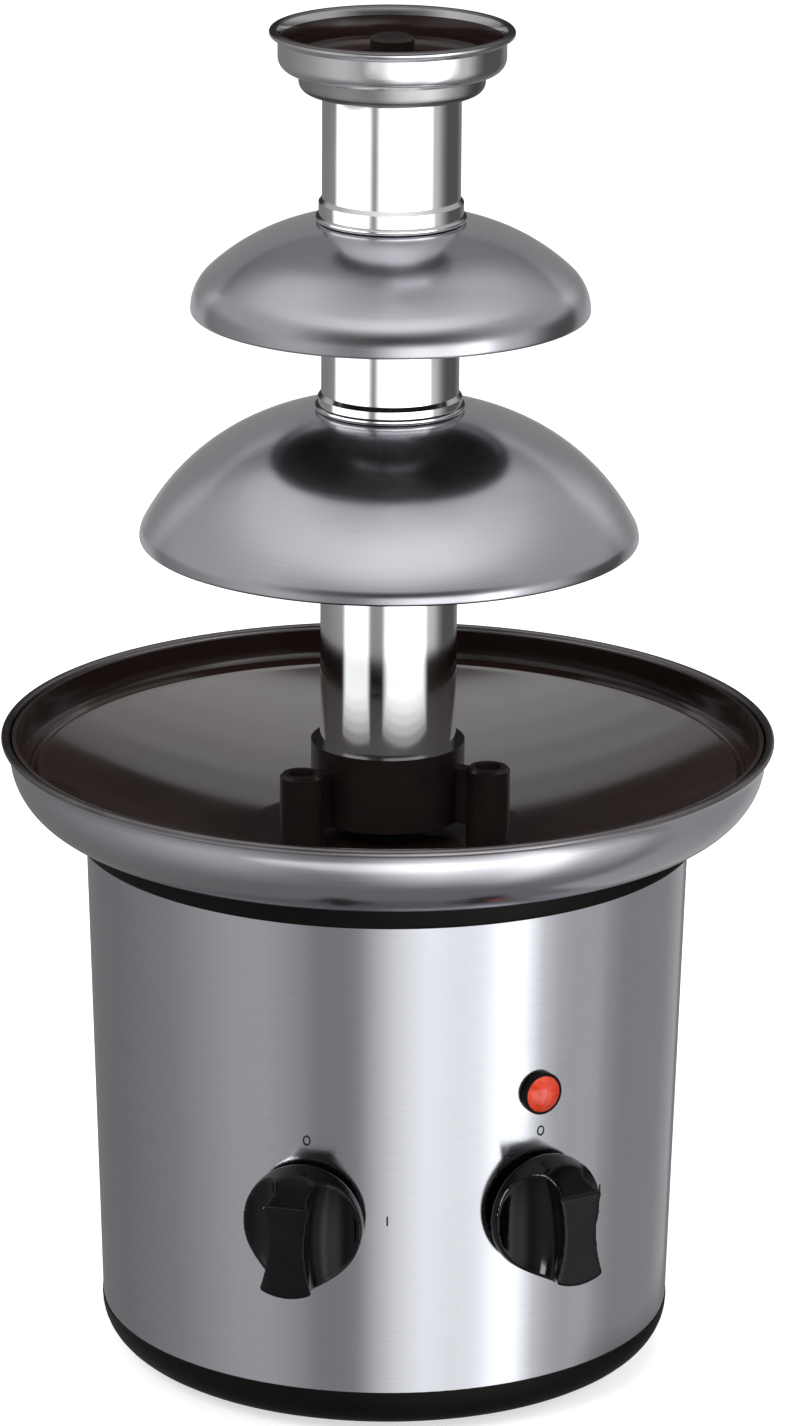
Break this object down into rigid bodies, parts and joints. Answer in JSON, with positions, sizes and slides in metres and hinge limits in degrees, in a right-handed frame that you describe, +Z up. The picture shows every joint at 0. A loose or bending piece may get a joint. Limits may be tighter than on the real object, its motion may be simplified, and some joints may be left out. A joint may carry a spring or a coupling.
{
  "type": "chocolate fountain",
  "caption": "Table-top chocolate fountain: a steel drum base with knobs and a lamp, a wide coated bowl, and a tower of tubes, domes and a stepped crown round a lifting auger.",
  "frame": {"origin": "on the table under the middle of the base, at the underside of the rubber feet", "axes": "+Z up along the tower, -Y towards the user, who faces the knobs and the lamp"},
  "size_m": [0.2202, 0.2202, 0.3879],
  "materials": {
    "brushed_sleeve": "fine horizontal brushing",
    "satin_steel": "smooth satin",
    "bright_steel": "mirror polished stainless steel",
    "plain_steel": "plain",
    "black_plastic": "semi-gloss black",
    "knob_plastic": "gloss black",
    "brown_coating": "glossy dark brown non-stick coat",
    "brown_plastic": "semi-gloss dark brown",
    "rubber": "matte",
    "copper_alloy": "plain",
    "white_plastic": "moulded",
    "red_lens": "clear red"
  },
  "bodies": {
    "base": {"base_tray": "black_plastic", "feet": "rubber", "tie_rods": "plain_steel", "sleeve": "brushed_sleeve", "top_ring": "black_plastic", "bowl_skirt": "satin_steel", "bowl_pan": "brown_coating", "pan_wall": "brown_coating", "pan_nuts": "plain_steel", "tower_pins": "bright_steel", "pin_nuts": "plain_steel", "hub_plate": "black_plastic", "shaft_bush": "copper_alloy", "shaft_seal": "rubber", "heater_ring": "plain_steel", "heater_clips": "plain_steel", "thermal_cutout": "white_plastic", "motor_bracket": "plain_steel", "bracket_screws": "plain_steel", "motor_can": "plain_steel", "motor_screws": "plain_steel", "stator": "plain_steel", "windings": "copper_alloy", "gearbox_case": "white_plastic", "gearbox_cover": "white_plastic", "gearbox_screws": "plain_steel", "gear_pin": "plain_steel", "motor_switch": "white_plastic", "heat_switch": "white_plastic", "switch_nuts": "plain_steel", "lamp_bezel": "black_plastic", "lamp_lens": "red_lens", "lamp_bulb": "white_plastic", "lamp_clip": "plain_steel", "terminal_block": "white_plastic", "cord_gland": "black_plastic", "gland_nut": "black_plastic"},
    "rotor": {"rotor": "plain_steel", "motor_pinion": "copper_alloy"},
    "double_gear": {"reduction_gear": "white_plastic"},
    "drive": {"drive_shaft": "bright_steel", "output_gear": "white_plastic", "shaft_clip": "plain_steel"},
    "auger": {"auger": "brown_plastic"},
    "tower_foot": {"tower_base": "brown_plastic", "lower_tube": "bright_steel"},
    "lower_dome": {"lower_tier": "satin_steel"},
    "mid_tube": {"middle_tube": "bright_steel"},
    "upper_dome": {"upper_tier": "satin_steel"},
    "top_tube": {"upper_tube": "bright_steel"},
    "crown": {"crown": "bright_steel"},
    "motor_knob": {"motor_knob": "knob_plastic", "motor_spindle": "plain_steel"},
    "heat_knob": {"heat_knob": "knob_plastic", "heat_spindle": "plain_steel"}
  },
  "joints": [
    {"name": "rotor_spin", "type": "hinge", "parent": "base", "child": "rotor", "pos_m": [0, 0, 0.06], "axis": [0, 0, 1], "continuous": true},
    {"name": "double_gear_spin", "type": "hinge", "parent": "base", "child": "double_gear", "pos_m": [0, 0.024, 0.075], "axis": [0, 0, 1], "continuous": true},
    {"name": "auger_spin", "type": "hinge", "parent": "base", "child": "drive", "pos_m": [0, 0, 0.1], "axis": [0, 0, 1], "continuous": true},
    {"name": "auger_lift", "type": "slide", "parent": "drive", "child": "auger", "axis": [0, 0, 1], "range_m": [0, 0.24]},
    {"name": "tower_lift", "type": "slide", "parent": "base", "child": "tower_foot", "axis": [0, 0, 1], "range_m": [0, 0.24]},
    {"name": "lower_dome_lift", "type": "slide", "parent": "tower_foot", "child": "lower_dome", "axis": [0, 0, 1], "range_m": [0, 0.05]},
    {"name": "middle_tube_lift", "type": "slide", "parent": "lower_dome", "child": "mid_tube", "axis": [0, 0, 1], "range_m": [0, 0.02]},
    {"name": "upper_dome_lift", "type": "slide", "parent": "mid_tube", "child": "upper_dome", "axis": [0, 0, 1], "range_m": [0, 0.04]},
    {"name": "upper_tube_lift", "type": "slide", "parent": "upper_dome", "child": "top_tube", "axis": [0, 0, 1], "range_m": [0, 0.02]},
    {"name": "crown_lift", "type": "slide", "parent": "top_tube", "child": "crown", "axis": [0, 0, 1], "range_m": [0, 0.03]},
    {"name": "motor_knob_turn", "type": "hinge", "parent": "base", "child": "motor_knob", "pos_m": [-0.03264, -0.07689, 0.067], "axis": [0.3907, 0.9205, 0], "range_deg": [0, 90]},
    {"name": "heat_knob_turn", "type": "hinge", "parent": "base", "child": "heat_knob", "pos_m": [0.03264, -0.07689, 0.067], "axis": [-0.3907, 0.9205, 0], "range_deg": [0, 90]}
  ],
  "couplings": [
    {"joint": "double_gear_spin", "follows": "rotor_spin", "ratio": -0.33333},
    {"joint": "auger_spin", "follows": "rotor_spin", "ratio": 0.11111}
  ]
}
